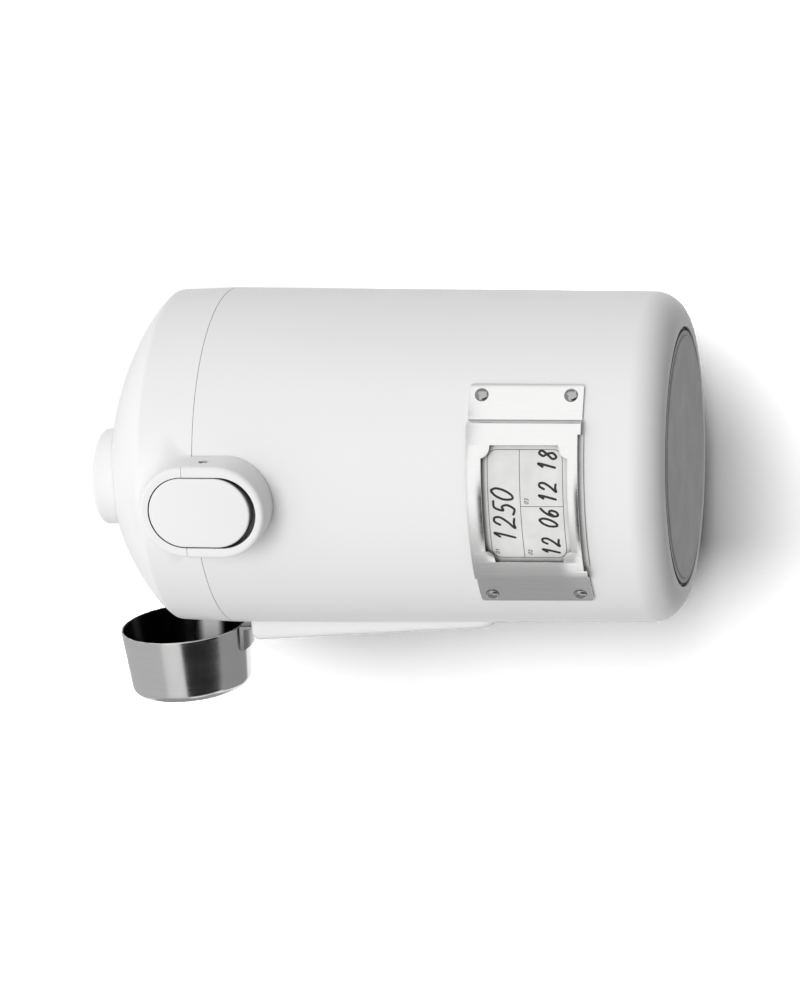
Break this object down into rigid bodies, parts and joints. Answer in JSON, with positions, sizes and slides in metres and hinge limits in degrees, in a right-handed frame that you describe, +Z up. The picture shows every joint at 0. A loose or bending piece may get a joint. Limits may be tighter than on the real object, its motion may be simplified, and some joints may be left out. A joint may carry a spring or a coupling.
{
  "type": "airtight food canister",
  "caption": "Tapered round food canister with a hinged domed lid, push vent knob, rocker latch, riveted label frame with a card, and a scoop stored in a side holder.",
  "frame": {"origin": "centre of the foot pad's flat underside, on the body's axis", "axes": "+Z up along the body's axis; -Y towards the latch and the label; +Y towards the hinge; -X towards the scoop and its holder"},
  "size_m": [0.1491, 0.1422, 0.2111],
  "materials": {
    "white_plastic": "satin white",
    "inner_plastic": "plain white",
    "brushed_steel": "brushed",
    "polished_steel": "polished",
    "plain_steel": "plain",
    "grey_rubber": "matte grey",
    "silicone": "translucent grey",
    "card": "matte card"
  },
  "bodies": {
    "canister": {"outer_shell": "white_plastic", "inner_liner": "inner_plastic", "base_plate": "inner_plastic", "base_screw_1": "plain_steel", "base_screw_2": "plain_steel", "base_screw_3": "plain_steel", "base_screw_4": "plain_steel", "foot_pad": "grey_rubber", "latch_housing": "white_plastic", "housing_screw_1": "plain_steel", "housing_screw_2": "plain_steel", "latch_pin": "polished_steel", "latch_spring": "plain_steel", "hinge_pin": "polished_steel", "label_frame": "brushed_steel", "label_rivet_1": "polished_steel", "label_rivet_2": "polished_steel", "label_rivet_3": "polished_steel", "label_rivet_4": "polished_steel", "scoop_holder": "white_plastic", "holder_screw_1": "plain_steel", "holder_screw_2": "plain_steel", "holder_screw_3": "plain_steel", "holder_screw_4": "plain_steel"},
    "lid": {"lid_shell": "white_plastic", "lid_liner": "inner_plastic", "lid_screw_1": "plain_steel", "lid_screw_2": "plain_steel", "lid_screw_3": "plain_steel", "lid_gasket": "silicone", "lid_catch": "plain_steel", "catch_screw_1": "plain_steel", "catch_screw_2": "plain_steel", "vent_spring": "plain_steel"},
    "vent": {"vent_knob": "white_plastic", "vent_stem": "plain_steel", "vent_seal": "silicone", "vent_clip": "plain_steel"},
    "latch": {"latch_button": "white_plastic"},
    "scoop": {"scoop_cup": "polished_steel", "scoop_handle": "polished_steel"},
    "label": {"label_card": "card"}
  },
  "joints": [
    {"name": "lid_hinge", "type": "hinge", "parent": "canister", "child": "lid", "pos_m": [0, 0.0645, 0.16174], "axis": [-1, 0, 0], "range_deg": [0, 105]},
    {"name": "latch_rock", "type": "hinge", "parent": "canister", "child": "latch", "pos_m": [0, -0.065, 0.1555], "axis": [1, 0, 0], "range_deg": [0, 7], "stiffness_Nm_per_rad": 0.3, "springref_deg": -5.73, "deforming": ["latch_spring"]},
    {"name": "vent_slide", "type": "slide", "parent": "lid", "child": "vent", "axis": [0, 0, -1], "range_m": [0, 0.0025], "stiffness_N_per_m": 800, "springref_m": -0.002, "deforming": ["vent_spring"]},
    {"name": "scoop_slide", "type": "slide", "parent": "canister", "child": "scoop", "axis": [-0.048, 0, 0.9988], "range_m": [0, 0.055]},
    {"name": "label_slide", "type": "slide", "parent": "canister", "child": "label", "axis": [0, -0.015, 0.9999], "range_m": [0, 0.041]}
  ]
}
